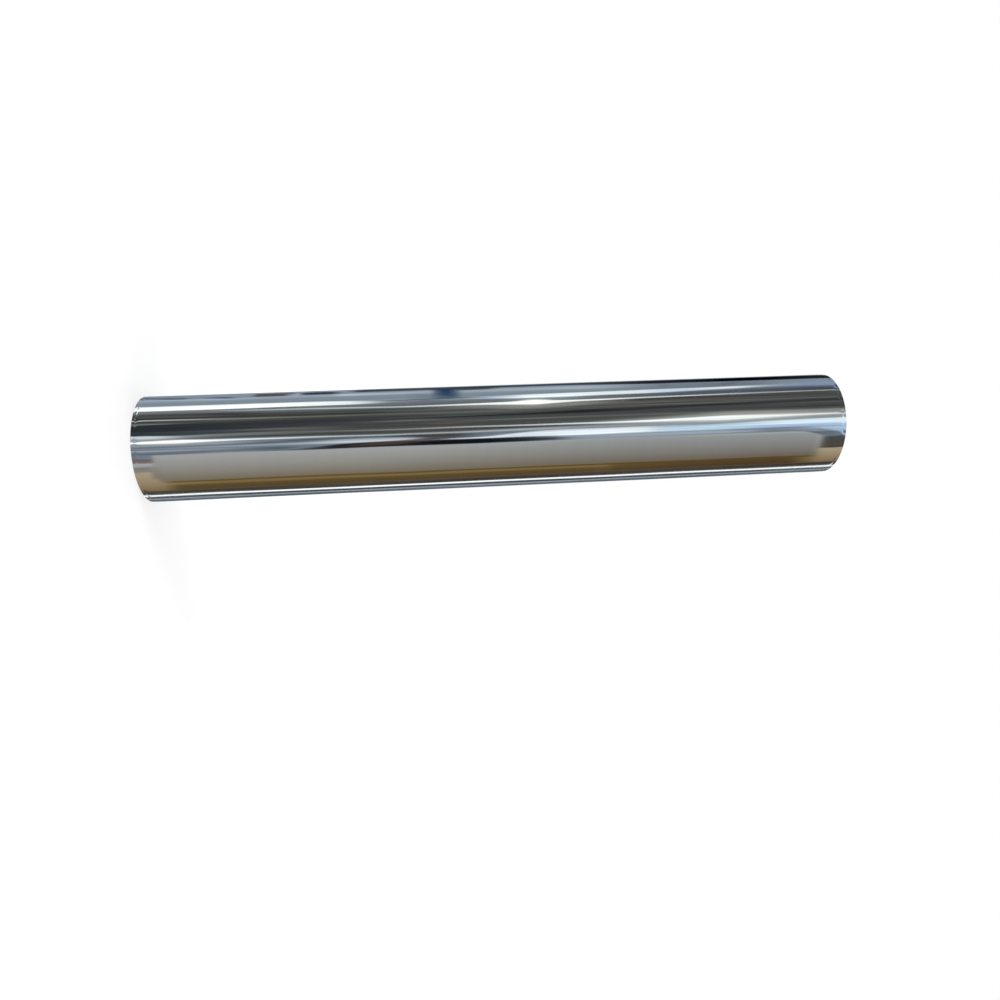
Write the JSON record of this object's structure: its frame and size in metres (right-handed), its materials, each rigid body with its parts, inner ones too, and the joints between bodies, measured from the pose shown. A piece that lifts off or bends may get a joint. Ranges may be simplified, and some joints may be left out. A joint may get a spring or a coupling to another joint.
{
  "type": "aluminium foil roll",
  "caption": "Full roll of mirror-bright heavy aluminium foil wound on an open cardboard core, standing on one end; web pulled off by hand or run on a mandrel.",
  "frame": {"origin": "on the roll's axis, in the plane of the lower end that the roll stands on", "axes": "+Z along the roll's axis, from the end it stands on to the other; the foil's free edge is on the +Y side"},
  "size_m": [0.0899, 0.0899, 0.6006],
  "materials": {
    "foil": "bright rolled, mirror-like",
    "core_board": "matt kraft board"
  },
  "bodies": {
    "root": {"foil_roll": "foil", "core_tube": "core_board"}
  },
  "joints": []
}
